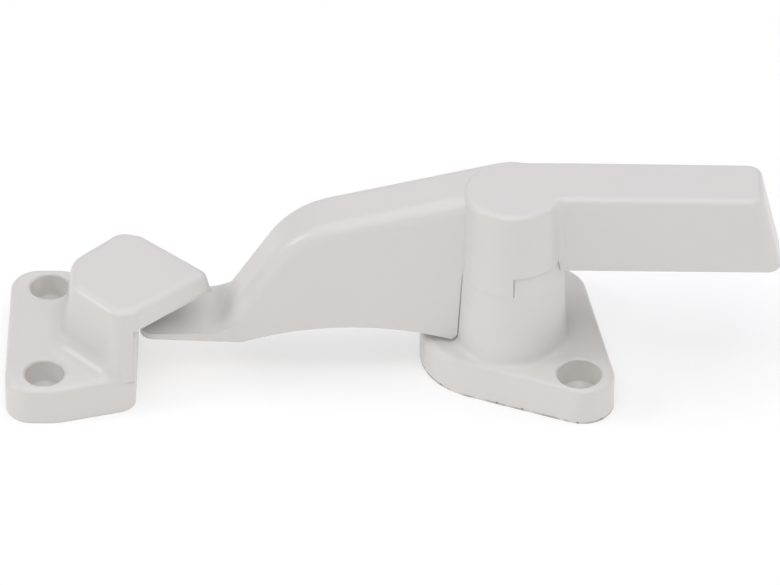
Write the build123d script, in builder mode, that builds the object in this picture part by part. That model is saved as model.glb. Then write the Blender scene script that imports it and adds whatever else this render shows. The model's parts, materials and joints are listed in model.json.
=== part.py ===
from build123d import *
import math
import os

# Casement turn button with a hooked keeper, shown shut.
# The pieces are drawn about the pivot axis, with Z = 0 on the mounting face, +X along the grip
# and +Z away from the face. They are saved about the middle of the base's two screws.

os.makedirs("parts", exist_ok=True)

# Clearances
face_gap = 0.1          # flat faces that slide on each other
seam_gap = 0.02         # the close seam under the skirt of the hub
swing_gap = 0.3         # round faces that pass each other
close_gap = 0.08        # the same, where they run close
bore_clearance = 0.05   # spindle in its bore, shank in its hole

# Working values
overlap = 1.0           # how far joined shapes run into each other
near = 0.01             # two measures this close are the same
lead_in_margin = 0.3    # how far the beak's lower edge strays from level

# Foot plate of the base
plate_thickness = 7.5
plate_edge_round = 1.2
plate_rim = 2.3
plate_skin = 2.6
front_corner = (12.9, -11.7)
back_corner = (5.2, 16.2)
corner_radius = 5.8
back_shoulder = (7.2, 12.4)
back_shoulder_radius = 7.0
toe_centre = (-3.0, 2.9)
toe_margin = 3.35       # of the toe past the foot of the post
base_screw_front = (12.3, -12.1)
base_screw_back = (4.9, 16.5)
base_recess_radius = 4.1
base_recess_depth = 4.9

# Screw holes, for 3.5 mm countersunk screws sunk below the face
screw_hole_radius = 2.0
countersink_angle = 90
recess_rim = 0.3
recess_draft = 5.0      # degrees
boss_wall = 1.5

# Post on the foot plate
post_step = 0.3         # of its top past the hub's ledge
post_flare = 0.75       # of its foot past its top
post_foot_round = 1.3
post_top = 22.9
pocket_radius = 7.3
pocket_roof = 14.0
pivot_boss_radius = 6.0
spindle_radius = 4.0

# Stop on the post, a raised quarter, and the skirt of the hub that meets it
stop_set_in = 0.4       # behind the hub's ledge
stop_start = 272.0      # degrees about the pivot, from +X
swing = 90.0            # degrees from shut to open
skirt_span = 180.0
stop_gap = 0.7          # degrees left between stop and skirt
skirt_boss_gap = 0.4    # from the skirt's inner face to the post's boss

# Hub of the lever
hub_top = 40.35
hub_top_radius = 8.75
hub_flare = 0.45        # of its ledge past its top
hub_ledge = 26.9
hub_top_round = 1.2
hub_front_blend = 2.0
hub_back_blend = 6.0

# Arms of the lever, both set back from the pivot axis
arm_front = -3.2
arm_set_in = 0.35       # of their back face inside the hub's side
arm_wall = 2.2
arm_round = 2.6
core_draft = 0.4
rib_thickness = 1.5
rib_set_back = 1.5

# Grip
grip_bottom = 24.3
grip_end_top = 44.9
grip_end_bottom = 48.7
grip_droop = 0.6
grip_end_round = 2.6
grip_ribs = 2

# Locking arm and its wedge nose
arm_drop_at_hub = 0.8
arm_slope = 14.4        # degrees
drop_slope = 58.0       # degrees
drop_corner = -40.1
drop_corner_round = 18.0
arm_ribs = 2
arch_end = -49.0
arch_foot = 7.9
arch_peak = 10.9
nose_tip = -67.6
nose_bottom = 7.4
nose_front_height = 1.9
nose_back_height = 3.85
nose_rise = 0.8
nose_plan_round = 2.4
nose_blend = 4.5
nose_run_in = 3.5       # how far the nose reaches into the arm

# Pivot stack under the hub
friction_washer_thickness = 0.8
disc_spring_height = 1.4
disc_spring_thickness = 0.6
disc_spring_radius = 6.8
retaining_washer_thickness = 1.2
retaining_washer_radius = 6.0
shank_radius = 2.5
shank_grip = 9.0
pan_head_radius = 4.6
pan_head_height = 2.9
pan_head_flat = 2.6
pan_head_brim = 0.7     # height of the straight side of the head
pan_head_swell = (3.9, 0.9)
recess_width = 1.0
recess_span = 5.0
recess_depth = 1.6
recess_taper = 8        # degrees
shank_point = 0.5
tapped_run_out = 1.0    # depth of the tapped hole past the screw
washer_clearance = 0.15
washer_edge = 0.2

# Keeper
keeper_centre = 0.5
keeper_left = -91.9
keeper_right = -68.3
keeper_half_width = 17.8
keeper_narrowing = 3.8  # of the half width, from shoulder to beak
keeper_shoulder = -82.5
keeper_screw_x = -84.7
keeper_screw_inset = 5.3    # from the plate's side to the screw
keeper_recess_radius = 3.6
keeper_recess_depth = 4.5
keeper_corner_round = 5.0
keeper_right_round = 3.6
keeper_rim = 2.3

# Hook of the keeper
hook_top = 20.9
hook_foot_left = -82.2
hook_foot_set_in = 12.9     # from the plate's side to the hook's flank
hook_corner = -72.2
hook_inset = 0.2        # from the edge of the plate
hook_draft = 9.0        # degrees
hook_foot_round = 5.0
hook_foot_blend = 3.8
hook_corner_round = 3.5
hook_side_round = 3.0
hook_round = 1.7
hook_wall = 3.0
beak_set_in = 2.1       # from the plate's side to the beak's root
beak_reach = 8 / 7      # of the beak's length to its half width
beak_tip_round = 1.9
beak_edge = 4.0
beak_under_round = 1.8
beak_lead_in = 48.0     # degrees

# Places that follow from the sizes above
recess_slope = math.tan(math.radians(recess_draft))
hub_ledge_radius = hub_top_radius + hub_flare
post_top_radius = hub_ledge_radius + post_step
post_foot_radius = post_top_radius + post_flare
stop_radius = hub_ledge_radius - stop_set_in
toe_radius = post_foot_radius + toe_margin
skirt_inner_radius = pivot_boss_radius + skirt_boss_gap
arm_back = hub_top_radius - arm_set_in
arm_width = arm_back - arm_front
arm_top_at_hub = hub_top - arm_drop_at_hub
pivot_boss_top = hub_ledge - friction_washer_thickness - face_gap
stop_top = hub_ledge - face_gap
skirt_bottom = post_top + seam_gap
stop_span = 360 - swing - skirt_span - 2 * stop_gap
spring_top = pocket_roof - face_gap
spindle_end = spring_top - disc_spring_height
bore_radius = spindle_radius + bore_clearance
shank_hole_radius = shank_radius + bore_clearance
head_seat = spindle_end - retaining_washer_thickness
head_bottom = head_seat - pan_head_height
shank_top = spindle_end + shank_grip
nose_front_top = nose_bottom + nose_front_height
nose_back_top = nose_bottom + nose_back_height
pad_bottom = nose_back_top + swing_gap
keeper_right_half_width = keeper_half_width - keeper_narrowing
keeper_screw_spacing = 2 * (keeper_half_width - keeper_screw_inset)
hook_foot = plate_thickness - plate_edge_round
hook_foot_half = keeper_half_width - hook_foot_set_in
beak_half_width = keeper_right_half_width - beak_set_in
beak_tip = keeper_right + beak_half_width * beak_reach
lead_in_top = hook_top - beak_edge


def radial_plane(angle):
    """Upright plane through the pivot axis, its x axis pointing outwards at the angle."""
    turn = math.radians(angle)
    return Plane(
        origin=(0, 0, 0),
        x_dir=(math.cos(turn), math.sin(turn), 0),
        z_dir=(math.sin(turn), -math.cos(turn), 0),
    )


def post_radius(height):
    """Radius of the tapered post at a height above the mounting face."""
    rise = (height - plate_thickness) / (post_top - plate_thickness)
    return post_foot_radius + (post_top_radius - post_foot_radius) * rise


# Base plate with its post
base_screws = [base_screw_front, base_screw_back]
plate_corners = [
    (front_corner, corner_radius),
    (back_shoulder, back_shoulder_radius),
    (back_corner, corner_radius),
    (toe_centre, toe_radius),
]

with BuildSketch() as plate_outline:
    for centre, radius in plate_corners:
        with Locations(centre):
            Circle(radius)
    make_hull()

with BuildPart() as base_plate:
    add(plate_outline.sketch)
    extrude(amount=plate_thickness)
    fillet(base_plate.faces().sort_by(Axis.Z)[-1].edges(), plate_edge_round)

    # The tapered post with its central boss
    with BuildSketch(Plane.XZ):
        with BuildLine():
            Polyline(
                (0, 0),
                (post_foot_radius, 0),
                (post_foot_radius, plate_thickness),
                (post_top_radius, post_top),
                (pivot_boss_radius, post_top),
                (pivot_boss_radius, pivot_boss_top),
                (0, pivot_boss_top),
                close=True,
            )
        make_face()
    revolve(axis=Axis.Z)
    foot_edge = (
        base_plate.edges()
        .filter_by(GeomType.CIRCLE)
        .filter_by(lambda e: abs(e.radius - post_foot_radius) < near)
        .filter_by(lambda e: abs(e.center().Z - plate_thickness) < near)
    )
    fillet(foot_edge, post_foot_round)

    # The raised quarter that stops the lever
    with BuildSketch(radial_plane(stop_start)):
        with BuildLine():
            Polyline(
                (pivot_boss_radius - overlap, post_top - overlap),
                (post_radius(post_top - overlap), post_top - overlap),
                (post_top_radius, post_top),
                (stop_radius, stop_top),
                (pivot_boss_radius + washer_clearance, stop_top),
                (pivot_boss_radius + washer_clearance, pivot_boss_top),
                (pivot_boss_radius - overlap, pivot_boss_top),
                close=True,
            )
        make_face()
    revolve(axis=Axis.Z, revolution_arc=stop_span)

    # Cored underside: a rim, two screw bosses and the foot of the post stay
    with BuildSketch() as plate_core:
        add(plate_outline.sketch)
        offset(amount=-plate_rim, mode=Mode.REPLACE)
        Circle(post_foot_radius, mode=Mode.SUBTRACT)
        with Locations(*base_screws):
            Circle(base_recess_radius + boss_wall, mode=Mode.SUBTRACT)
    extrude(amount=plate_thickness - plate_skin, mode=Mode.SUBTRACT)

    # Pocket for the pivot stack, and the bore for the spindle
    with Locations((0, 0, 0)):
        Cylinder(
            pocket_radius,
            pocket_roof,
            align=(Align.CENTER, Align.CENTER, Align.MIN),
            mode=Mode.SUBTRACT,
        )
        Cylinder(
            bore_radius,
            pivot_boss_top,
            align=(Align.CENTER, Align.CENTER, Align.MIN),
            mode=Mode.SUBTRACT,
        )

    with BuildSketch(Plane.XY.offset(plate_thickness)):
        with Locations(*base_screws):
            Circle(base_recess_radius + recess_rim)
    extrude(amount=-recess_rim, taper=countersink_angle / 2, mode=Mode.SUBTRACT)
    with BuildSketch(Plane.XY.offset(plate_thickness)):
        with Locations(*base_screws):
            Circle(base_recess_radius)
    extrude(amount=-base_recess_depth, taper=recess_draft, mode=Mode.SUBTRACT)
    with Locations(*[(x, y, plate_thickness - base_recess_depth) for x, y in base_screws]):
        CounterSinkHole(
            screw_hole_radius,
            base_recess_radius - base_recess_depth * recess_slope,
            depth=plate_thickness,
            counter_sink_angle=countersink_angle,
        )

base_plate.part.label = "base_plate"


def arm_top(x):
    """Height of the arm's upper line at a place along it."""
    return arm_top_at_hub + (x + hub_top_radius) * math.tan(math.radians(arm_slope))


arm_crest = (hub_top - arm_top_at_hub) / math.tan(math.radians(arm_slope)) - hub_top_radius
drop_top = arm_top(drop_corner)
drop_foot = drop_corner - (drop_top - nose_front_top) / math.tan(math.radians(drop_slope))
nose_lean = (nose_back_top - nose_front_top) / math.tan(math.radians(drop_slope))
nose_root = drop_foot + nose_lean + nose_run_in
arm_core_start = -(post_foot_radius + swing_gap + arm_wall)
arm_core_end = arch_end + arm_wall
grip_core_start = hub_ledge_radius + arm_wall

# Locking arm: a deep web with an arched foot
with BuildPart() as locking_arm:
    with BuildSketch(Plane.XZ.offset(-arm_back)):
        with BuildLine():
            top = FilletPolyline(
                (arm_crest, hub_top),
                (drop_corner, drop_top),
                (drop_foot, nose_front_top),
                radius=drop_corner_round,
            )
            Polyline(
                top @ 1,
                (nose_tip, nose_front_top),
                (nose_tip, nose_bottom + nose_rise),
                (arch_end, nose_bottom),
            )
            ThreePointArc(
                (arch_end, nose_bottom),
                ((arch_end - post_foot_radius) / 2, arch_peak),
                (-post_foot_radius, arch_foot),
            )
            Polyline(
                (-post_foot_radius, arch_foot),
                (0, arch_foot),
                (0, hub_top),
                (arm_crest, hub_top),
            )
        make_face()
    extrude(amount=arm_width)
    upper_edges = (
        locking_arm.edges()
        .filter_by(lambda e: abs(e.tangent_at(0.5).Y) < 0.1)
        .filter_by(lambda e: e.center().Z > nose_back_top)
        .filter_by(lambda e: e.center().X < arm_crest)
    )
    fillet(upper_edges, arm_round)

    # The nose, a wedge that rises towards the back
    with BuildSketch(Plane.YZ.offset(nose_tip)):
        with BuildLine():
            Polyline(
                (arm_front, nose_front_top - overlap),
                (arm_back, nose_front_top - overlap),
                (arm_back, nose_back_top),
                (arm_front, nose_front_top),
                close=True,
            )
        make_face()
    extrude(amount=nose_root - nose_tip)
    blend_edges = (
        locking_arm.edges()
        .filter_by(lambda e: e.length > arm_width / 2)
        .filter_by(lambda e: nose_front_top + near < e.center().Z < nose_back_top - near)
        .filter_by(lambda e: abs(e.center().X - drop_foot) < nose_run_in)
    )
    fillet(blend_edges, nose_blend)
    tip_edges = (
        locking_arm.edges()
        .filter_by(Axis.Z)
        .filter_by(lambda e: abs(e.center().X - nose_tip) < near)
    )
    fillet(tip_edges, nose_plan_round)

# Grip, a little lower at its end, cut off on the slant
with BuildPart() as grip:
    with BuildSketch(Plane.XZ.offset(-arm_back)):
        with BuildLine():
            Polyline(
                (0, grip_bottom),
                (0, hub_top),
                (hub_ledge_radius + overlap, hub_top),
                (grip_end_top, hub_top - grip_droop),
                (grip_end_bottom, grip_bottom - grip_droop),
                close=True,
            )
        make_face()
    extrude(amount=arm_width)
    end_corners = grip.faces().sort_by(Axis.X)[-1].edges().filter_by(
        lambda e: abs(e.tangent_at(0.5).Y) < near
    )
    fillet(end_corners, grip_end_round)

# Hub and grip, blended into each other
with BuildPart() as hub_and_grip:
    with BuildSketch(Plane.XZ):
        with BuildLine():
            Polyline(
                (0, hub_ledge),
                (hub_ledge_radius, hub_ledge),
                (hub_top_radius, hub_top),
                (0, hub_top),
                close=True,
            )
        make_face()
    revolve(axis=Axis.Z)
    add(grip.part)
    hub_corners = (
        hub_and_grip.edges()
        .filter_by(GeomType.HYPERBOLA)
        .filter_by(lambda e: 0 < e.center().X < hub_ledge_radius)
        .sort_by(Axis.Y)
    )
    fillet(hub_corners[0], hub_front_blend)
    fillet(hub_corners[-1], hub_back_blend)
    rim_edges = (
        hub_and_grip.edges()
        .filter_by(lambda e: e.center().Z > hub_top - grip_droop - near)
        .filter_by(lambda e: abs(e.center().X - hub_ledge_radius - overlap) > near)
        .filter_by(lambda e: abs(e.tangent_at(0.5).Z) < 0.5)
    )
    fillet(rim_edges, hub_top_round)

with BuildPart() as lever:
    add(locking_arm.part)
    add(hub_and_grip.part)

    # The arms stay clear of the post and its stop as they swing
    with BuildSketch(Plane.XZ):
        with BuildLine():
            Polyline(
                (0, 0),
                (post_foot_radius + post_foot_round + swing_gap, 0),
                (post_foot_radius + post_foot_round + swing_gap, plate_thickness),
                (post_foot_radius + close_gap, plate_thickness + post_foot_round + swing_gap),
                (post_top_radius + close_gap, skirt_bottom),
                (stop_radius + close_gap, hub_ledge),
                (0, hub_ledge),
                close=True,
            )
        make_face()
    revolve(axis=Axis.Z, mode=Mode.SUBTRACT)

    # The skirt hangs from half of the hub and meets the stop at both ends
    with BuildSketch(radial_plane(stop_start - stop_gap - skirt_span)):
        with BuildLine():
            Polyline(
                (skirt_inner_radius, skirt_bottom),
                (post_top_radius, skirt_bottom),
                (hub_ledge_radius, hub_ledge),
                (hub_ledge_radius - overlap / 2, hub_ledge + overlap),
                (skirt_inner_radius, hub_ledge + overlap),
                close=True,
            )
        make_face()
    revolve(axis=Axis.Z, revolution_arc=skirt_span)

    # Cored underside of the grip and of the arm, each with cross ribs
    with BuildSketch(Plane.XZ.offset(-(arm_back - arm_wall))):
        with BuildLine():
            Polyline(
                (grip_core_start, grip_bottom - grip_droop),
                (grip_core_start, hub_top - arm_wall),
                (grip_end_top - arm_wall, hub_top - grip_droop - arm_wall),
                (grip_end_bottom - arm_wall - core_draft, grip_bottom - grip_droop),
                close=True,
            )
        make_face()
        for i in range(grip_ribs):
            rib_x = grip_core_start + (i + 1) * (grip_end_top - grip_core_start) / (grip_ribs + 1)
            with Locations((rib_x, grip_bottom + rib_set_back)):
                Rectangle(
                    rib_thickness,
                    hub_top,
                    align=(Align.CENTER, Align.MIN),
                    mode=Mode.SUBTRACT,
                )
    extrude(amount=arm_width - 2 * arm_wall, mode=Mode.SUBTRACT)

    with BuildSketch(Plane.XZ.offset(-(arm_back - arm_wall))):
        with BuildLine():
            Polyline(
                (arm_core_start, 0),
                (arm_core_start, arm_top(arm_core_start) - arm_wall - core_draft),
                (drop_corner + core_draft, drop_top - arm_wall - core_draft),
                (arm_core_end, nose_back_top + arm_wall),
                (arm_core_end, 0),
                close=True,
            )
        make_face()
        for i in range(arm_ribs):
            rib_x = arm_core_start + (i + 1) * (arm_core_end - arm_core_start) / (arm_ribs + 1)
            with Locations((rib_x, arch_peak + rib_set_back)):
                Rectangle(
                    rib_thickness,
                    hub_top,
                    align=(Align.CENTER, Align.MIN),
                    mode=Mode.SUBTRACT,
                )
    extrude(amount=arm_width - 2 * arm_wall, mode=Mode.SUBTRACT)

    # Spindle with its tapped hole
    with Locations((0, 0, spindle_end)):
        Cylinder(
            spindle_radius,
            hub_ledge - spindle_end + overlap,
            align=(Align.CENTER, Align.CENTER, Align.MIN),
        )
        Cylinder(
            shank_hole_radius,
            shank_grip + tapped_run_out,
            align=(Align.CENTER, Align.CENTER, Align.MIN),
            mode=Mode.SUBTRACT,
        )

lever.part.label = "lever"


# Friction washer between the post and the hub
with BuildPart() as friction_washer:
    with BuildSketch(Plane.XY.offset(pivot_boss_top)):
        Circle(pivot_boss_radius)
        Circle(spindle_radius + washer_clearance, mode=Mode.SUBTRACT)
    extrude(amount=friction_washer_thickness)
friction_washer.part.label = "friction_washer"


# Disc spring, a cone pressed up against the roof of the pocket
with BuildPart() as disc_spring:
    with BuildSketch(Plane.XZ):
        with BuildLine():
            Polyline(
                (spindle_radius + washer_clearance, spindle_end),
                (disc_spring_radius, spring_top - disc_spring_thickness),
                (disc_spring_radius, spring_top),
                (spindle_radius + washer_clearance, spindle_end + disc_spring_thickness),
                close=True,
            )
        make_face()
    revolve(axis=Axis.Z)
disc_spring.part.label = "disc_spring"


# Retaining washer on the end of the spindle
with BuildPart() as retaining_washer:
    with BuildSketch(Plane.XY.offset(head_seat)):
        Circle(retaining_washer_radius)
        Circle(shank_radius + washer_clearance, mode=Mode.SUBTRACT)
    extrude(amount=retaining_washer_thickness)
    outer_edges = retaining_washer.edges().filter_by(GeomType.CIRCLE).sort_by(SortBy.RADIUS)[-2:]
    chamfer(outer_edges, washer_edge)
retaining_washer.part.label = "retaining_washer"


# Pivot screw, pan head downwards with a cross recess
with BuildPart() as pivot_screw:
    with BuildSketch(Plane.XZ):
        with BuildLine():
            Polyline((0, shank_top), (0, head_bottom), (pan_head_flat, head_bottom))
            ThreePointArc(
                (pan_head_flat, head_bottom),
                (pan_head_swell[0], head_bottom + pan_head_swell[1]),
                (pan_head_radius, head_seat - pan_head_brim),
            )
            Polyline(
                (pan_head_radius, head_seat - pan_head_brim),
                (pan_head_radius, head_seat),
                (shank_radius, head_seat),
                (shank_radius, shank_top - shank_point),
                (shank_radius - shank_point, shank_top),
                (0, shank_top),
            )
        make_face()
    revolve(axis=Axis.Z)
    with BuildSketch(Plane.XY.offset(head_bottom)):
        Rectangle(recess_span, recess_width)
        Rectangle(recess_width, recess_span)
    extrude(amount=recess_depth, taper=recess_taper, mode=Mode.SUBTRACT)
pivot_screw.part.label = "pivot_screw"


# Keeper, the hook on its own foot plate
keeper_screws = [
    (keeper_screw_x, keeper_centre + side * keeper_screw_spacing / 2) for side in (-1, 1)
]


def keeper_half(x):
    """Half width of the keeper's foot where it narrows towards the hook."""
    run = (x - keeper_shoulder) / (keeper_right - keeper_shoulder)
    return keeper_half_width + (keeper_right_half_width - keeper_half_width) * run


def mirrored(points):
    """The points on one side of the keeper's centre line, then the same on the other side."""
    near_side = [(x, keeper_centre - half) for x, half in points]
    far_side = [(x, keeper_centre + half) for x, half in reversed(points)]
    return near_side + far_side


with BuildSketch() as keeper_outline:
    with BuildLine():
        Polyline(
            *mirrored(
                [
                    (keeper_left, keeper_half_width),
                    (keeper_shoulder, keeper_half_width),
                    (keeper_right, keeper_right_half_width),
                ]
            ),
            close=True,
        )
    make_face()
    fillet(keeper_outline.vertices().sort_by(Axis.X)[:4], keeper_corner_round)
    fillet(keeper_outline.vertices().sort_by(Axis.X)[-2:], keeper_right_round)

# The hook, one drafted block from its foot to the tip of its beak
draft_slope = math.tan(math.radians(hook_draft))
beak_angle = math.atan(beak_half_width / (beak_tip - keeper_right))


def beak_line(x, height):
    """Half width of the beak's side at a height, on the line that runs to its tip."""
    lean = (hook_top - height) * draft_slope / math.cos(beak_angle)
    return beak_half_width * (beak_tip - x) / (beak_tip - keeper_right) + lean


def hook_points(inset, height):
    """Outline of the hook at a height, set in from its walls, as place and half width."""
    lean = (hook_foot - height) * draft_slope - inset
    shoulder_angle = math.atan(
        (keeper_half_width - keeper_right_half_width) / (keeper_right - keeper_shoulder)
    )
    flank_run = hook_corner - hook_foot_left
    flank_rise = keeper_half(hook_corner) - hook_inset - hook_foot_half
    flank_angle = math.atan(flank_rise / flank_run)

    # Each side as a line, half width = height at x = 0 plus slope times x
    shoulder_slope = -math.tan(shoulder_angle)
    shoulder_start = (
        keeper_half(hook_corner)
        - hook_inset
        - shoulder_slope * hook_corner
        + lean / math.cos(shoulder_angle)
    )
    flank_slope = flank_rise / flank_run
    flank_start = hook_foot_half - flank_slope * hook_foot_left + lean / math.cos(flank_angle)
    beak_slope = -math.tan(beak_angle)
    beak_start = -beak_slope * beak_tip + (
        ((hook_top - height) * draft_slope - inset) / math.cos(beak_angle)
    )
    left = hook_foot_left - lean
    corner = (flank_start - shoulder_start) / (shoulder_slope - flank_slope)
    side = (beak_start - shoulder_start) / (shoulder_slope - beak_slope)
    return [
        (left, flank_start + flank_slope * left),
        (corner, flank_start + flank_slope * corner),
        (side, beak_start + beak_slope * side),
        (-beak_start / beak_slope, 0),
    ]


with BuildPart() as hook:
    foot_points = hook_points(0, hook_foot)
    with BuildSketch(Plane.XY.offset(hook_foot)) as hook_outline:
        with BuildLine():
            Polyline(*mirrored(foot_points)[:4], *mirrored(foot_points)[5:], close=True)
        make_face()
    extrude(amount=hook_top - hook_foot, taper=hook_draft)

    # Upright corners, from the foot of the hook to the tip of the beak
    corner_rounds = [
        (hook_foot_left, hook_foot_round),
        (hook_corner, hook_corner_round),
        (foot_points[2][0], hook_side_round),
        (foot_points[3][0], beak_tip_round),
    ]
    for place, radius in corner_rounds:
        corner_edges = (
            hook.edges()
            .filter_by(lambda e: abs(e.tangent_at(0.5).Z) > 0.5)
            .filter_by(GeomType.LINE)
            .filter_by(lambda e: abs(min(e.vertices(), key=lambda v: v.Z).X - place) < overlap)
        )
        fillet(corner_edges, radius)
    fillet(hook.faces().sort_by(Axis.Z)[-1].edges(), hook_round)

    # Room for the nose below the beak, with a sloped lead-in round the pad that holds it
    with BuildPart(mode=Mode.PRIVATE) as lead_in:
        with Locations((keeper_right, keeper_centre, lead_in_top)):
            Box(
                2 * hook_top,
                4 * beak_half_width,
                2 * lead_in_top,
                align=(Align.MIN, Align.CENTER, Align.MAX),
            )
        with BuildSketch(Plane.XY.offset(lead_in_top)):
            with BuildLine():
                Polyline(
                    (keeper_left, keeper_centre - beak_line(keeper_left, lead_in_top)),
                    (hook_points(0, lead_in_top)[3][0], keeper_centre),
                    (keeper_left, keeper_centre + beak_line(keeper_left, lead_in_top)),
                    close=True,
                )
            make_face()
        extrude(amount=pad_bottom - lead_in_top, taper=beak_lead_in, mode=Mode.SUBTRACT)
    add(lead_in.part, mode=Mode.SUBTRACT)
    under_edges = (
        hook.edges()
        .filter_by(lambda e: abs(e.center().Z - lead_in_top) < lead_in_margin)
        .filter_by(lambda e: e.center().X > keeper_right + near)
    )
    fillet(under_edges, beak_under_round)

with BuildPart() as keeper:
    add(keeper_outline.sketch)
    extrude(amount=plate_thickness)
    plate_top_edges = (
        keeper.faces()
        .sort_by(Axis.Z)[-1]
        .edges()
        .filter_by(lambda e: e.center().X < keeper_right - near)
    )
    fillet(plate_top_edges, plate_edge_round)
    with BuildSketch(Plane.XY.offset(plate_thickness)):
        with Locations(*keeper_screws):
            Circle(keeper_recess_radius + recess_rim)
    extrude(amount=-recess_rim, taper=countersink_angle / 2, mode=Mode.SUBTRACT)
    with BuildSketch(Plane.XY.offset(plate_thickness)):
        with Locations(*keeper_screws):
            Circle(keeper_recess_radius)
    extrude(amount=-keeper_recess_depth, taper=recess_draft, mode=Mode.SUBTRACT)
    with Locations(*[(x, y, plate_thickness - keeper_recess_depth) for x, y in keeper_screws]):
        CounterSinkHole(
            screw_hole_radius,
            keeper_recess_radius - keeper_recess_depth * recess_slope,
            depth=plate_thickness,
            counter_sink_angle=countersink_angle,
        )
    add(hook.part)
    foot_edges = (
        keeper.edges()
        .filter_by(lambda e: abs(e.center().Z - plate_thickness) < near)
        .filter_by(lambda e: abs(e.center().X - hook_foot_left) < overlap)
    )
    fillet(foot_edges, hook_foot_blend)

    # Cored underside: a rim and two screw bosses stay, and the hook is hollow
    with BuildSketch() as keeper_core:
        add(keeper_outline.sketch)
        offset(amount=-keeper_rim, mode=Mode.REPLACE)
        with Locations(*keeper_screws):
            Circle(keeper_recess_radius + boss_wall, mode=Mode.SUBTRACT)
    extrude(amount=plate_thickness - plate_skin, mode=Mode.SUBTRACT)
    core_points = hook_points(hook_wall, hook_foot)[:2]
    core_points.append((keeper_right - hook_wall, core_points[1][1]))
    with BuildSketch(Plane.XY.offset(hook_foot)) as hook_core:
        with BuildLine():
            Polyline(*mirrored(core_points), close=True)
        make_face()
    extrude(amount=-hook_foot, mode=Mode.SUBTRACT)
    extrude(
        hook_core.sketch,
        amount=hook_top - hook_foot - hook_wall,
        taper=hook_draft,
        mode=Mode.SUBTRACT,
    )
keeper.part.label = "keeper"


pieces = [
    base_plate,
    lever,
    friction_washer,
    disc_spring,
    retaining_washer,
    pivot_screw,
    keeper,
]
to_screw_middle = Location(
    (
        -(base_screw_front[0] + base_screw_back[0]) / 2,
        -(base_screw_front[1] + base_screw_back[1]) / 2,
        0,
    )
)
for piece in pieces:
    piece.part.move(to_screw_middle)
    export_step(piece.part, f"parts/{piece.part.label}.step")
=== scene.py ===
"""Finishes, floor, lights and camera for a casement turn button with its hooked keeper."""

import json
import math

import bpy
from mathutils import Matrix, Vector

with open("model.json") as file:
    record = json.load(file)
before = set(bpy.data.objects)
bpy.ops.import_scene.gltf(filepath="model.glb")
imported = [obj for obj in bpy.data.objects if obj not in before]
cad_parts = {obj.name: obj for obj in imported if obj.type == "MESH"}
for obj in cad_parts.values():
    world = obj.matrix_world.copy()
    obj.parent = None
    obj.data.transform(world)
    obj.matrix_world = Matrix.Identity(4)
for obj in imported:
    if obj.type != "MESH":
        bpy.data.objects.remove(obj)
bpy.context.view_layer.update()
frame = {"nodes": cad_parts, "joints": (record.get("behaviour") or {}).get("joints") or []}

bl_info = {
    "name": "Casement turn button",
    "version": (1, 0, 0),
    "blender": (4, 5, 0),
    "location": "View3D > Sidebar > Turn button",
    "description": "Finishes and studio for a casement turn button with its hooked keeper",
    "category": "Object",
}

MM = 0.001
PIVOT = Vector(frame["joints"][0]["pos_m"])

# Chips on the lower front edge of the base plate: x and y from the pivot, and size, in mm
CHIP_PLACES = (
    (-15.5, -1.9, 0.45),
    (-14.9, -3.4, 0.35),
    (-12.7, -6.6, 0.4),
    (-2.5, -11.7, 0.6),
    (2.1, -13.4, 0.55),
    (5.9, -14.8, 0.5),
    (12.0, -17.4, 0.35),
    (16.2, -16.2, 0.5),
)

# How far the roughness falls below and rises above its setting over a surface
COAT_SPREAD = (-0.03, 0.04)
METAL_SPREAD = (-0.06, 0.08)
ACETAL_SPREAD = (-0.05, 0.05)

COAT_IOR = 1.47
METAL_SHADE = 0.7
METAL_SHADE_AMOUNT = 0.5
SPRING_EXTRA_ROUGHNESS = 0.1
ACETAL_SHADE = 0.9
ACETAL_PATCH_SIZE = 0.004
ACETAL_SHADE_AMOUNT = 0.4

FLOOR_HALF = 3.0
FLOOR_ROUGHNESS = 0.9
FLOOR_SPECULAR = 0.2

# Softboxes: name, settings of power and colour, side in m, place from the target in m
SOFTBOXES = (
    ("overhead_softbox", "overhead", "sky_colour", 1.2, (0.0, 0.15, 1.0)),
    ("front_softbox", "front", "lamp_colour", 0.9, (0.0, -0.6, 0.85)),
    ("left_softbox", "left", "lamp_colour", 0.34, (-0.92, -0.1, 0.62)),
    ("right_softbox", "right", "lamp_colour", 0.34, (0.96, 0.05, 0.55)),
)

# The photo's width in pixels, and the middle of its picture, in m from the pivot
PHOTO_WIDTH = 780
PICTURE_MIDDLE = Vector((-0.02204, 0.0, 0.0165))
SENSOR_WIDTH = 36.0
CLIP_END = 20.0


# --- node helpers ---------------------------------------------------------------------------


def new_group(name, inputs, outputs):
    """An empty shader node group with its named sockets."""
    group = bpy.data.node_groups.new(name, "ShaderNodeTree")
    for label, kind, value in inputs:
        socket = group.interface.new_socket(name=label, in_out="INPUT", socket_type=kind)
        if value is not None:
            socket.default_value = value
    for label, kind in outputs:
        group.interface.new_socket(name=label, in_out="OUTPUT", socket_type=kind)
    entry = group.nodes.new("NodeGroupInput")
    leave = group.nodes.new("NodeGroupOutput")
    return group, entry, leave


def add_node(tree, kind, **settings):
    """A node with its properties set."""
    node = tree.nodes.new(kind)
    for key, value in settings.items():
        setattr(node, key, value)
    return node


def add_math(tree, operation, first, second=None, clamp=False):
    """A maths node, fed with sockets or numbers."""
    node = add_node(tree, "ShaderNodeMath", operation=operation, use_clamp=clamp)
    for place, value in enumerate((first, second)):
        if value is None:
            continue
        if isinstance(value, (int, float)):
            node.inputs[place].default_value = value
        else:
            tree.links.new(value, node.inputs[place])
    return node.outputs[0]


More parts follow.
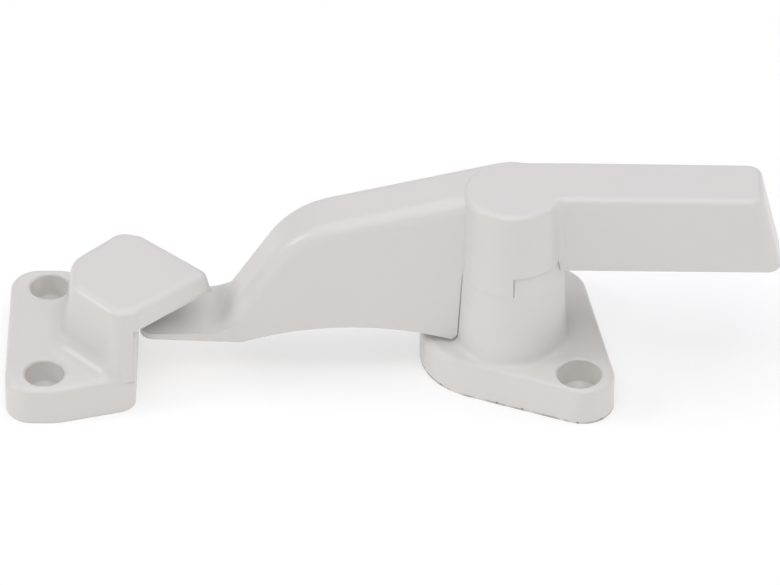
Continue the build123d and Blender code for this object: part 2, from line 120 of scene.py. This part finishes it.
def add_noise(tree, place, scale, detail=2.0, roughness=0.5):
    """Noise at a scale given as a socket or a number."""
    node = add_node(tree, "ShaderNodeTexNoise")
    tree.links.new(place, node.inputs["Vector"])
    node.inputs["Detail"].default_value = detail
    node.inputs["Roughness"].default_value = roughness
    if isinstance(scale, (int, float)):
        node.inputs["Scale"].default_value = scale
    else:
        tree.links.new(scale, node.inputs["Scale"])
    return node.outputs["Fac"]


def add_range(tree, value, low, high, to_low=0.0, to_high=1.0, smooth=True):
    """A map-range node from two limits, sockets or numbers, to two numbers."""
    interpolation = "SMOOTHSTEP" if smooth else "LINEAR"
    node = add_node(tree, "ShaderNodeMapRange", interpolation_type=interpolation)
    tree.links.new(value, node.inputs["Value"])
    for label, limit in (("From Min", low), ("From Max", high)):
        if isinstance(limit, (int, float)):
            node.inputs[label].default_value = limit
        else:
            tree.links.new(limit, node.inputs[label])
    node.inputs["To Min"].default_value = to_low
    node.inputs["To Max"].default_value = to_high
    return node.outputs["Result"]


def add_share(group, length):
    """One over a length, for the scale of a noise."""
    return add_math(group, "DIVIDE", 1.0, length)


def add_mix(tree, factor, first, second):
    """A colour mix of two colours, sockets or values."""
    node = add_node(tree, "ShaderNodeMix", data_type="RGBA")
    tree.links.new(factor, node.inputs["Factor"])
    for place, value in ((6, first), (7, second)):
        if isinstance(value, (tuple, list)):
            node.inputs[place].default_value = value
        else:
            tree.links.new(value, node.inputs[place])
    return node.outputs[2]


def rgba(colour):
    """A property's colour as a node colour."""
    return (colour[0], colour[1], colour[2], 1.0)


# --- shared effects -------------------------------------------------------------------------


def make_mottle():
    """Slow, slight changes of shade over a surface."""
    group, entry, leave = new_group(
        "Surface mottle",
        [
            ("Colour", "NodeSocketColor", (0.6, 0.6, 0.6, 1.0)),
            ("Shade", "NodeSocketColor", (0.5, 0.5, 0.5, 1.0)),
            ("Patch size", "NodeSocketFloat", 0.02),
            ("Amount", "NodeSocketFloat", 0.2),
        ],
        [("Colour", "NodeSocketColor"), ("Mask", "NodeSocketFloat")],
    )
    place = add_node(group, "ShaderNodeTexCoord").outputs["Object"]
    scale = add_share(group, entry.outputs["Patch size"])
    broad = add_noise(group, place, scale, detail=3.0, roughness=0.55)
    mask = add_range(group, broad, 0.0, 1.0, smooth=False)
    factor = add_math(group, "MULTIPLY", mask, entry.outputs["Amount"], clamp=True)
    colour = add_mix(group, factor, entry.outputs["Colour"], entry.outputs["Shade"])
    group.links.new(colour, leave.inputs["Colour"])
    group.links.new(mask, leave.inputs["Mask"])
    return group


def make_orange_peel():
    """The shallow dimples of a sprayed powder coat, as a height."""
    group, entry, leave = new_group(
        "Orange peel",
        [
            ("Dimple size", "NodeSocketFloat", 0.0009),
            ("Grain size", "NodeSocketFloat", 0.00025),
            ("Grain share", "NodeSocketFloat", 0.2),
        ],
        [("Height", "NodeSocketFloat")],
    )
    place = add_node(group, "ShaderNodeTexCoord").outputs["Object"]
    dimples = add_noise(group, place, add_share(group, entry.outputs["Dimple size"]), detail=1.0)
    grain = add_noise(group, place, add_share(group, entry.outputs["Grain size"]), detail=1.0)
    share = add_math(group, "MULTIPLY", grain, entry.outputs["Grain share"])
    group.links.new(add_math(group, "ADD", dimples, share), leave.inputs["Height"])
    return group


def make_soft_edges():
    """Edges and corners shaded as if the coat had flowed round them, as a normal."""
    group, entry, leave = new_group(
        "Soft edges", [("Radius", "NodeSocketFloat", 0.001)], [("Normal", "NodeSocketVector")]
    )
    bevel = add_node(group, "ShaderNodeBevel", samples=6)
    group.links.new(entry.outputs["Radius"], bevel.inputs["Radius"])
    group.links.new(bevel.outputs["Normal"], leave.inputs["Normal"])
    return group


def make_chip_spot():
    """One small ragged chip about a place, as a mask."""
    group, entry, leave = new_group(
        "Chip spot",
        [
            ("Centre", "NodeSocketVector", (0.0, 0.0, 0.0)),
            ("Size", "NodeSocketFloat", 0.0005),
            ("Ragged", "NodeSocketFloat", 0.6),
        ],
        [("Mask", "NodeSocketFloat")],
    )
    place = add_node(group, "ShaderNodeTexCoord").outputs["Object"]
    away = add_node(group, "ShaderNodeVectorMath", operation="DISTANCE")
    group.links.new(place, away.inputs[0])
    group.links.new(entry.outputs["Centre"], away.inputs[1])
    reach = add_math(group, "DIVIDE", away.outputs["Value"], entry.outputs["Size"])
    scale = add_math(group, "DIVIDE", 2.0, entry.outputs["Size"])
    grain = add_noise(group, place, scale, detail=2.0, roughness=0.6)
    sway = add_math(group, "SUBTRACT", grain, 0.5)
    wobble = add_math(group, "MULTIPLY", sway, entry.outputs["Ragged"])
    edge = add_math(group, "ADD", reach, add_math(group, "MULTIPLY", wobble, 4.0))
    mask = add_math(group, "SUBTRACT", 1.0, add_range(group, edge, 0.7, 1.1))
    group.links.new(mask, leave.inputs["Mask"])
    return group


def make_painted_foot_shade():
    """A thin, broken line of painted contact shade along the foot of a standing piece, where it
    meets the floor, as a mask.
    """
    group, entry, leave = new_group(
        "Foot grime",
        [
            ("Height", "NodeSocketFloat", 0.0003),
            ("Break size", "NodeSocketFloat", 0.004),
            ("Amount", "NodeSocketFloat", 0.5),
        ],
        [("Mask", "NodeSocketFloat")],
    )
    place = add_node(group, "ShaderNodeTexCoord").outputs["Object"]
    split = add_node(group, "ShaderNodeSeparateXYZ")
    group.links.new(place, split.inputs[0])
    # Painted contact shade: darker towards the very bottom of the piece, broken up by noise.
    height = add_range(group, split.outputs["Z"], 0.0, entry.outputs["Height"])
    low = add_math(group, "SUBTRACT", 1.0, height)
    noise = add_noise(group, place, add_share(group, entry.outputs["Break size"]))
    broken = add_math(group, "MULTIPLY", low, add_range(group, noise, 0.3, 0.6))
    mask = add_math(group, "MULTIPLY", broken, entry.outputs["Amount"], clamp=True)
    group.links.new(mask, leave.inputs["Mask"])
    return group


def make_turning_marks():
    """Fine turning marks round the pivot's axis, as a mask."""
    group, entry, leave = new_group(
        "Turning marks",
        [
            ("Line size", "NodeSocketFloat", 0.0002),
            ("Wobble", "NodeSocketFloat", 0.3),
            ("Wobble scale", "NodeSocketFloat", 900.0),
        ],
        [("Mask", "NodeSocketFloat")],
    )
    place = add_node(group, "ShaderNodeTexCoord").outputs["Object"]
    away = add_node(group, "ShaderNodeVectorMath", operation="SUBTRACT")
    group.links.new(place, away.inputs[0])
    away.inputs[1].default_value = (PIVOT.x, PIVOT.y, 0.0)
    flat = add_node(group, "ShaderNodeVectorMath", operation="MULTIPLY")
    group.links.new(away.outputs[0], flat.inputs[0])
    flat.inputs[1].default_value = (1.0, 1.0, 0.0)
    length = add_node(group, "ShaderNodeVectorMath", operation="LENGTH")
    group.links.new(flat.outputs[0], length.inputs[0])
    rings = add_math(group, "DIVIDE", length.outputs["Value"], entry.outputs["Line size"])
    noise = add_noise(group, place, entry.outputs["Wobble scale"])
    wobble = add_math(group, "MULTIPLY", noise, entry.outputs["Wobble"])
    wave = add_math(group, "SINE", add_math(group, "ADD", rings, wobble))
    group.links.new(add_range(group, wave, -1.0, 1.0), leave.inputs["Mask"])
    return group


def shared(maker, name):
    """A shared effect, made once."""
    return bpy.data.node_groups.get(name) or maker()


def put_group(tree, group, **values):
    """The group as a node, with its own values."""
    node = tree.nodes.new("ShaderNodeGroup")
    node.node_tree = group
    for label, value in values.items():
        node.inputs[label.replace("_", " ")].default_value = value
    return node


def new_material(name):
    """A material with an empty tree, its shader and its output."""
    material = bpy.data.materials.new(name)
    material.use_nodes = True
    tree = material.node_tree
    tree.nodes.clear()
    shader = tree.nodes.new("ShaderNodeBsdfPrincipled")
    output = tree.nodes.new("ShaderNodeOutputMaterial")
    tree.links.new(shader.outputs[0], output.inputs["Surface"])
    return material, tree, shader


def dress(node_name, material):
    """Puts a material on the whole of a CAD node."""
    piece = frame["nodes"][node_name]
    piece.data.materials.clear()
    piece.data.materials.append(material)


# --- finishes -------------------------------------------------------------------------------


def wear_and_shade_foot(tree, colour, chips):
    """The coat's colour with a painted contact shade line and real chips along the foot of the base
    plate.
    """
    # One dark colour serves the painted contact shade and the bare metal in the chips.
    bare_and_shade = rgba(chips.colour)
    # Painted shade: a dark, broken line along the foot stands in for the contact shadow where it
    # meets the floor; the chips below are real wear.
    foot_shade = put_group(
        tree,
        shared(make_painted_foot_shade, "Foot grime"),
        Height=chips.shade_height,
        Break_size=chips.shade_breaks,
        Amount=chips.shade_amount,
    )
    colour = add_mix(tree, foot_shade.outputs["Mask"], colour, bare_and_shade)
    worn = None
    for x, y, size in CHIP_PLACES:
        spot = put_group(
            tree,
            shared(make_chip_spot, "Chip spot"),
            Centre=(PIVOT.x + MM * x, PIVOT.y + MM * y, chips.height),
            Size=MM * size * chips.scale,
            Ragged=chips.ragged,
        ).outputs["Mask"]
        worn = add_math(tree, "MAXIMUM", worn, spot) if worn else spot
    return add_mix(tree, worn, colour, bare_and_shade)


def vary_roughness(tree, mask, roughness, spread, smooth=False):
    """A roughness that changes with a mask, about its setting."""
    return add_range(tree, mask, 0.0, 1.0, roughness + spread[0], roughness + spread[1], smooth)


def make_white_coat(coat, name, edge_radius=None, chips=None):
    """White powder coat, with flowed edges, or a foot with chips and painted contact shade, where
    wanted.
    """
    material, tree, shader = new_material(name)
    mottle = put_group(
        tree,
        shared(make_mottle, "Surface mottle"),
        Colour=rgba(coat.colour),
        Shade=rgba(coat.shade),
        Patch_size=coat.patch_size,
        Amount=coat.patch_amount,
    )
    colour = mottle.outputs["Colour"]
    if chips:
        colour = wear_and_shade_foot(tree, colour, chips)
    peel = put_group(tree, shared(make_orange_peel, "Orange peel"), Dimple_size=coat.dimple_size)
    bump = add_node(tree, "ShaderNodeBump")
    bump.inputs["Strength"].default_value = coat.dimple_strength
    bump.inputs["Distance"].default_value = coat.dimple_depth
    tree.links.new(peel.outputs["Height"], bump.inputs["Height"])
    if edge_radius:
        soft = put_group(tree, shared(make_soft_edges, "Soft edges"), Radius=edge_radius)
        tree.links.new(soft.outputs["Normal"], bump.inputs["Normal"])
    roughness = vary_roughness(tree, mottle.outputs["Mask"], coat.roughness, COAT_SPREAD)
    tree.links.new(colour, shader.inputs["Base Color"])
    tree.links.new(roughness, shader.inputs["Roughness"])
    tree.links.new(bump.outputs["Normal"], shader.inputs["Normal"])
    shader.inputs["IOR"].default_value = COAT_IOR
    return material


def make_metal(metal, name, colour, roughness):
    """Turned steel with fine marks round its axis."""
    material, tree, shader = new_material(name)
    mottle = put_group(
        tree,
        shared(make_mottle, "Surface mottle"),
        Colour=rgba(colour),
        Shade=rgba([part * METAL_SHADE for part in colour]),
        Patch_size=metal.patch_size,
        Amount=METAL_SHADE_AMOUNT,
    )
    marks = put_group(tree, shared(make_turning_marks, "Turning marks"), Line_size=metal.line_size)
    varied = vary_roughness(tree, marks.outputs["Mask"], roughness, METAL_SPREAD)
    tree.links.new(mottle.outputs["Colour"], shader.inputs["Base Color"])
    tree.links.new(varied, shader.inputs["Roughness"])
    shader.inputs["Metallic"].default_value = 1.0
    return material


def make_acetal(acetal, name):
    """Natural acetal, slightly cloudy."""
    material, tree, shader = new_material(name)
    mottle = put_group(
        tree,
        shared(make_mottle, "Surface mottle"),
        Colour=rgba(acetal.colour),
        Shade=rgba([part * ACETAL_SHADE for part in acetal.colour]),
        Patch_size=ACETAL_PATCH_SIZE,
        Amount=ACETAL_SHADE_AMOUNT,
    )
    mask = mottle.outputs["Mask"]
    varied = vary_roughness(tree, mask, acetal.roughness, ACETAL_SPREAD, smooth=True)
    tree.links.new(mottle.outputs["Colour"], shader.inputs["Base Color"])
    tree.links.new(varied, shader.inputs["Roughness"])
    return material


# --- floor, lights and camera ---------------------------------------------------------------


def lay_floor(stage):
    """A pale floor that glows a little, as a light table does."""
    material, _, shader = new_material("pale_floor")
    shader.inputs["Base Color"].default_value = rgba(stage.floor_colour)
    shader.inputs["Roughness"].default_value = FLOOR_ROUGHNESS
    shader.inputs["Specular IOR Level"].default_value = FLOOR_SPECULAR
    shader.inputs["Emission Color"].default_value = (1.0, 1.0, 1.0, 1.0)
    shader.inputs["Emission Strength"].default_value = stage.floor_glow
    mesh = bpy.data.meshes.new("floor")
    corners = [
        (-FLOOR_HALF, -FLOOR_HALF, 0),
        (FLOOR_HALF, -FLOOR_HALF, 0),
        (FLOOR_HALF, FLOOR_HALF, 0),
        (-FLOOR_HALF, FLOOR_HALF, 0),
    ]
    mesh.from_pydata(corners, [], [(0, 1, 2, 3)])
    mesh.materials.append(material)
    floor = bpy.data.objects.new("floor", mesh)
    bpy.context.scene.collection.objects.link(floor)


def light_all_round(stage):
    """Even light from the sky."""
    world = bpy.data.worlds.new("studio")
    world.use_nodes = True
    background = world.node_tree.nodes["Background"]
    background.inputs["Color"].default_value = rgba(stage.sky_colour)
    background.inputs["Strength"].default_value = stage.ambient
    bpy.context.scene.world = world


def make_softbox(name, power, colour, side, place, aim):
    """A square area light that points at a place."""
    data = bpy.data.lights.new(name, "AREA")
    data.shape = "SQUARE"
    data.color = colour
    data.size = side
    data.energy = power
    light = bpy.data.objects.new(name, data)
    bpy.context.scene.collection.objects.link(light)
    light.location = place
    light.rotation_euler = (aim - place).to_track_quat("-Z", "Y").to_euler()


def set_camera(stage, target):
    """The camera at the photo's angle and scale."""
    back = Vector(
        (
            math.sin(stage.azimuth) * math.cos(stage.elevation),
            -math.cos(stage.azimuth) * math.cos(stage.elevation),
            math.sin(stage.elevation),
        )
    )
    data = bpy.data.cameras.new("camera")
    data.sensor_fit = "HORIZONTAL"
    data.sensor_width = SENSOR_WIDTH
    data.lens = stage.photo_scale * stage.distance * SENSOR_WIDTH / PHOTO_WIDTH
    data.clip_end = CLIP_END
    camera = bpy.data.objects.new("camera", data)
    bpy.context.scene.collection.objects.link(camera)
    camera.location = target + back * stage.distance
    camera.rotation_euler = (-back).to_track_quat("-Z", "Y").to_euler()
    bpy.context.scene.camera = camera


# --- what a user would change ---------------------------------------------------------------


class CoatSettings(bpy.types.PropertyGroup):
    """White powder coat of the castings."""

    colour: bpy.props.FloatVectorProperty(
        name="Colour", description="Colour of the coat", subtype="COLOR", min=0, max=1,
        default=(0.745, 0.727, 0.695),
    )
    shade: bpy.props.FloatVectorProperty(
        name="Shade", description="Colour of its slightly darker patches", subtype="COLOR",
        min=0, max=1, default=(0.715, 0.696, 0.662),
    )
    patch_size: bpy.props.FloatProperty(
        name="Patch size", description="Size of the patches", unit="LENGTH", default=0.018
    )
    patch_amount: bpy.props.FloatProperty(
        name="Patch amount", description="Strength of the patches", default=0.5, min=0, max=1
    )
    roughness: bpy.props.FloatProperty(
        name="Roughness", description="Gloss of the coat, lower is glossier",
        default=0.29, min=0, max=1,
    )
    edge_radius: bpy.props.FloatProperty(
        name="Edge radius", description="Reach of the flowed edges of the keeper",
        unit="LENGTH", default=0.0005,
    )
    dimple_size: bpy.props.FloatProperty(
        name="Dimple size", description="Size of the orange peel", unit="LENGTH", default=0.0011
    )
    dimple_depth: bpy.props.FloatProperty(
        name="Dimple depth", description="Depth of the orange peel", unit="LENGTH", default=0.00002
    )
    dimple_strength: bpy.props.FloatProperty(
        name="Dimple strength", description="Share of the orange peel that shows",
        default=0.35, min=0, max=1,
    )


class ChipAndShadeSettings(bpy.types.PropertyGroup):
    """Chips and a painted contact shade line along the foot of the base plate."""

    colour: bpy.props.FloatVectorProperty(
        name="Colour", description="Colour of the painted shade and the chipped metal", subtype="COLOR",
        min=0, max=1, default=(0.26, 0.25, 0.235),
    )
    height: bpy.props.FloatProperty(
        name="Height", description="Height of the chips above the floor",
        unit="LENGTH", default=0.0002,
    )
    scale: bpy.props.FloatProperty(
        name="Scale", description="Size of the chips against the real ones", default=0.7, min=0
    )
    ragged: bpy.props.FloatProperty(
        name="Ragged", description="Raggedness of their edges", default=0.6, min=0
    )
    # Painted contact shade along the foot: its height, breaks and strength.
    shade_height: bpy.props.FloatProperty(
        name="Shade height", description="Height of the painted contact shade above the floor",
        unit="LENGTH", default=0.0006,
    )
    shade_breaks: bpy.props.FloatProperty(
        name="Shade breaks", description="Length between breaks in the painted shade",
        unit="LENGTH", default=0.003,
    )
    shade_amount: bpy.props.FloatProperty(
        name="Shade amount", description="Strength of the painted shade", default=0.9, min=0, max=1
    )


class FastenerSettings(bpy.types.PropertyGroup):
    """Steel screw, washer and spring under the base."""

    plated_colour: bpy.props.FloatVectorProperty(
        name="Plated colour", description="Colour of the zinc plating", subtype="COLOR",
        min=0, max=1, default=(0.62, 0.63, 0.65),
    )
    spring_colour: bpy.props.FloatVectorProperty(
        name="Spring colour", description="Colour of the spring steel", subtype="COLOR",
        min=0, max=1, default=(0.24, 0.24, 0.25),
    )
    roughness: bpy.props.FloatProperty(
        name="Roughness", description="Gloss of the plating", default=0.32, min=0, max=1
    )
    line_size: bpy.props.FloatProperty(
        name="Line size", description="Size of the turning marks", unit="LENGTH", default=0.00003
    )
    patch_size: bpy.props.FloatProperty(
        name="Patch size", description="Size of the darker patches", unit="LENGTH", default=0.003
    )


class WasherSettings(bpy.types.PropertyGroup):
    """Acetal friction washer."""

    colour: bpy.props.FloatVectorProperty(
        name="Colour", description="Colour of the acetal", subtype="COLOR", min=0, max=1,
        default=(0.68, 0.67, 0.62),
    )
    roughness: bpy.props.FloatProperty(
        name="Roughness", description="Gloss of the acetal", default=0.45, min=0, max=1
    )


class StageSettings(bpy.types.PropertyGroup):
    """Floor, lights and camera."""

    floor_colour: bpy.props.FloatVectorProperty(
        name="Floor colour", description="Colour of the floor", subtype="COLOR", min=0, max=1,
        default=(0.55, 0.55, 0.54),
    )
    floor_glow: bpy.props.FloatProperty(
        name="Floor glow", description="Light of the floor itself, as of a light table",
        default=0.49, min=0,
    )
    ambient: bpy.props.FloatProperty(
        name="Ambient", description="Strength of the light from all round", default=0.35, min=0
    )
    overhead: bpy.props.FloatProperty(
        name="Overhead", description="Power of the softbox above",
        unit="POWER", default=4.05, min=0,
    )
    front: bpy.props.FloatProperty(
        name="Front", description="Power of the softbox in front",
        unit="POWER", default=3.15, min=0,
    )
    left: bpy.props.FloatProperty(
        name="Left", description="Power of the softbox on the left",
        unit="POWER", default=2.2, min=0,
    )
    right: bpy.props.FloatProperty(
        name="Right", description="Power of the softbox on the right",
        unit="POWER", default=1.5, min=0,
    )
    sky_colour: bpy.props.FloatVectorProperty(
        name="Sky colour", description="Colour of the light from above", subtype="COLOR",
        min=0, max=2, default=(0.985, 0.970, 1.06),
    )
    lamp_colour: bpy.props.FloatVectorProperty(
        name="Lamp colour", description="Colour of the softboxes round the object", subtype="COLOR",
        min=0, max=2, default=(1.0, 0.985, 0.965),
    )
    elevation: bpy.props.FloatProperty(
        name="Elevation", description="Height of the camera above the horizon", subtype="ANGLE",
        default=math.radians(39.0),
    )
    azimuth: bpy.props.FloatProperty(
        name="Azimuth", description="Turn of the camera round the object",
        subtype="ANGLE", default=0.0,
    )
    distance: bpy.props.FloatProperty(
        name="Distance", description="Camera to target", unit="LENGTH", default=1.2
    )
    photo_scale: bpy.props.FloatProperty(
        name="Photo scale", description="Pixels of the picture for each metre at the target",
        default=5500.0,
    )
    target: bpy.props.FloatVectorProperty(
        name="Target", description="Point at the middle of the picture", subtype="XYZ",
        unit="LENGTH", default=tuple(PIVOT + PICTURE_MIDDLE),
    )


# --- operators ------------------------------------------------------------------------------


class TURNBUTTON_OT_coat_base(bpy.types.Operator):
    """Coats the base plate, chips its foot and paints a contact shade line along it"""

    bl_idname = "turnbutton.coat_base"
    bl_label = "Coat the base plate"

    def execute(self, context):
        scene = context.scene
        coat = make_white_coat(scene.turnbutton_coat, "base_coat", chips=scene.turnbutton_chips)
        dress("base_plate", coat)
        return {"FINISHED"}


class TURNBUTTON_OT_coat_lever(bpy.types.Operator):
    """Coats the lever"""

    bl_idname = "turnbutton.coat_lever"
    bl_label = "Coat the lever"

    def execute(self, context):
        dress("lever", make_white_coat(context.scene.turnbutton_coat, "lever_coat"))
        return {"FINISHED"}


class TURNBUTTON_OT_coat_keeper(bpy.types.Operator):
    """Coats the keeper"""

    bl_idname = "turnbutton.coat_keeper"
    bl_label = "Coat the keeper"

    def execute(self, context):
        coat = context.scene.turnbutton_coat
        dress("keeper", make_white_coat(coat, "keeper_coat", coat.edge_radius))
        return {"FINISHED"}


class TURNBUTTON_OT_finish_pivot(bpy.types.Operator):
    """Finishes the screw, washers and spring of the pivot"""

    bl_idname = "turnbutton.finish_pivot"
    bl_label = "Finish the pivot"

    def execute(self, context):
        metal = context.scene.turnbutton_fasteners
        plated = make_metal(metal, "zinc_plated_steel", metal.plated_colour, metal.roughness)
        duller = metal.roughness + SPRING_EXTRA_ROUGHNESS
        dress("pivot_screw", plated)
        dress("retaining_washer", plated)
        dress("disc_spring", make_metal(metal, "spring_steel", metal.spring_colour, duller))
        dress("friction_washer", make_acetal(context.scene.turnbutton_washer, "natural_acetal"))
        return {"FINISHED"}


class TURNBUTTON_OT_build_stage(bpy.types.Operator):
    """Lays the floor and sets the lights and the camera"""

    bl_idname = "turnbutton.build_stage"
    bl_label = "Build the stage"

    def execute(self, context):
        stage = context.scene.turnbutton_stage
        target = Vector(stage.target)
        lay_floor(stage)
        light_all_round(stage)
        for name, power, colour, side, place in SOFTBOXES:
            spot = target + Vector(place)
            make_softbox(name, getattr(stage, power), getattr(stage, colour), side, spot, target)
        set_camera(stage, target)
        context.scene.view_settings.view_transform = "Standard"
        return {"FINISHED"}


class TURNBUTTON_PT_panel(bpy.types.Panel):
    """Settings and pieces of the turn button"""

    bl_idname = "TURNBUTTON_PT_panel"
    bl_label = "Turn button"
    bl_space_type = "VIEW_3D"
    bl_region_type = "UI"
    bl_category = "Turn button"

    def draw(self, context):
        for label, group in SETTINGS.items():
            box = self.layout.box()
            box.label(text=group.__doc__)
            settings = getattr(context.scene, label)
            for name in group.__annotations__:
                box.prop(settings, name)
        for operator in OPERATORS:
            self.layout.operator(operator.bl_idname)


SETTINGS = {
    "turnbutton_coat": CoatSettings,
    "turnbutton_chips": ChipAndShadeSettings,
    "turnbutton_fasteners": FastenerSettings,
    "turnbutton_washer": WasherSettings,
    "turnbutton_stage": StageSettings,
}

OPERATORS = (
    TURNBUTTON_OT_coat_base,
    TURNBUTTON_OT_coat_lever,
    TURNBUTTON_OT_coat_keeper,
    TURNBUTTON_OT_finish_pivot,
    TURNBUTTON_OT_build_stage,
)


def register():
    for label, group in SETTINGS.items():
        bpy.utils.register_class(group)
        setattr(bpy.types.Scene, label, bpy.props.PointerProperty(type=group))
    for operator in OPERATORS:
        bpy.utils.register_class(operator)
    bpy.utils.register_class(TURNBUTTON_PT_panel)


def unregister():
    bpy.utils.unregister_class(TURNBUTTON_PT_panel)
    for operator in reversed(OPERATORS):
        bpy.utils.unregister_class(operator)
    for label, group in SETTINGS.items():
        delattr(bpy.types.Scene, label)
        bpy.utils.unregister_class(group)


def main():
    """Registers the add-on and makes every piece in order."""
    register()
    bpy.ops.turnbutton.build_stage()
    bpy.ops.turnbutton.coat_base()
    bpy.ops.turnbutton.coat_lever()
    bpy.ops.turnbutton.coat_keeper()
    bpy.ops.turnbutton.finish_pivot()


if __name__ == "__main__":
    main()
